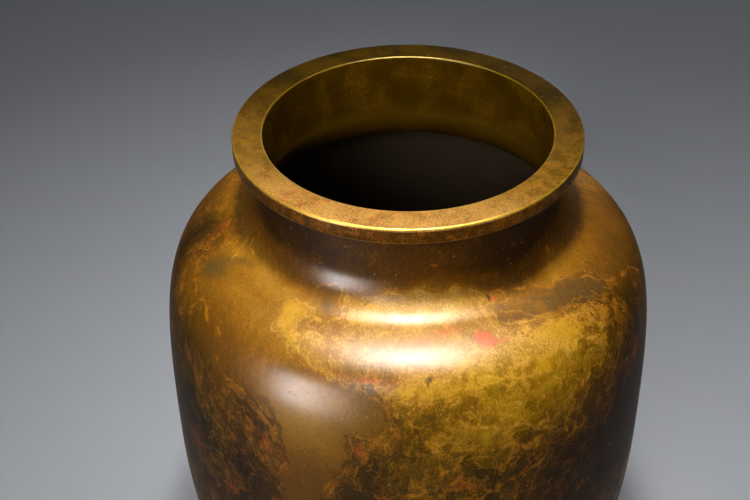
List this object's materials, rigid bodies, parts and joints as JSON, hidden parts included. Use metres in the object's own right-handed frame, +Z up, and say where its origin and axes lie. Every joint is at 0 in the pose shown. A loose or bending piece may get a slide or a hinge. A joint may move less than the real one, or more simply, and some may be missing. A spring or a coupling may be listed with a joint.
{
  "type": "bronze vase",
  "caption": "Wide-mouthed bronze flower vase with a flat flanged rim, short neck, broad shoulders, long full body and low foot, brazed from turned and cast rings.",
  "frame": {"origin": "centre of the foot's underside, on the surface that the vase stands on", "axes": "+Z up along the axis of the vase; X and Y level, and the same from every side"},
  "size_m": [0.2104, 0.2104, 0.28],
  "materials": {
    "patinated_bronze": "satin, mottled golden brown and olive patina with worn bright edges",
    "plain_bronze": "dull even brown, unpolished",
    "brazing_alloy": "dull yellow filler metal"
  },
  "bodies": {
    "root": {"mouth_rim": "patinated_bronze", "neck_collar": "patinated_bronze", "upper_body": "patinated_bronze", "lower_body": "patinated_bronze", "foot_ring": "patinated_bronze", "base_plate": "plain_bronze", "rim_braze": "brazing_alloy", "neck_braze": "brazing_alloy", "girth_braze": "brazing_alloy", "foot_braze": "brazing_alloy", "floor_braze": "brazing_alloy"}
  },
  "joints": []
}
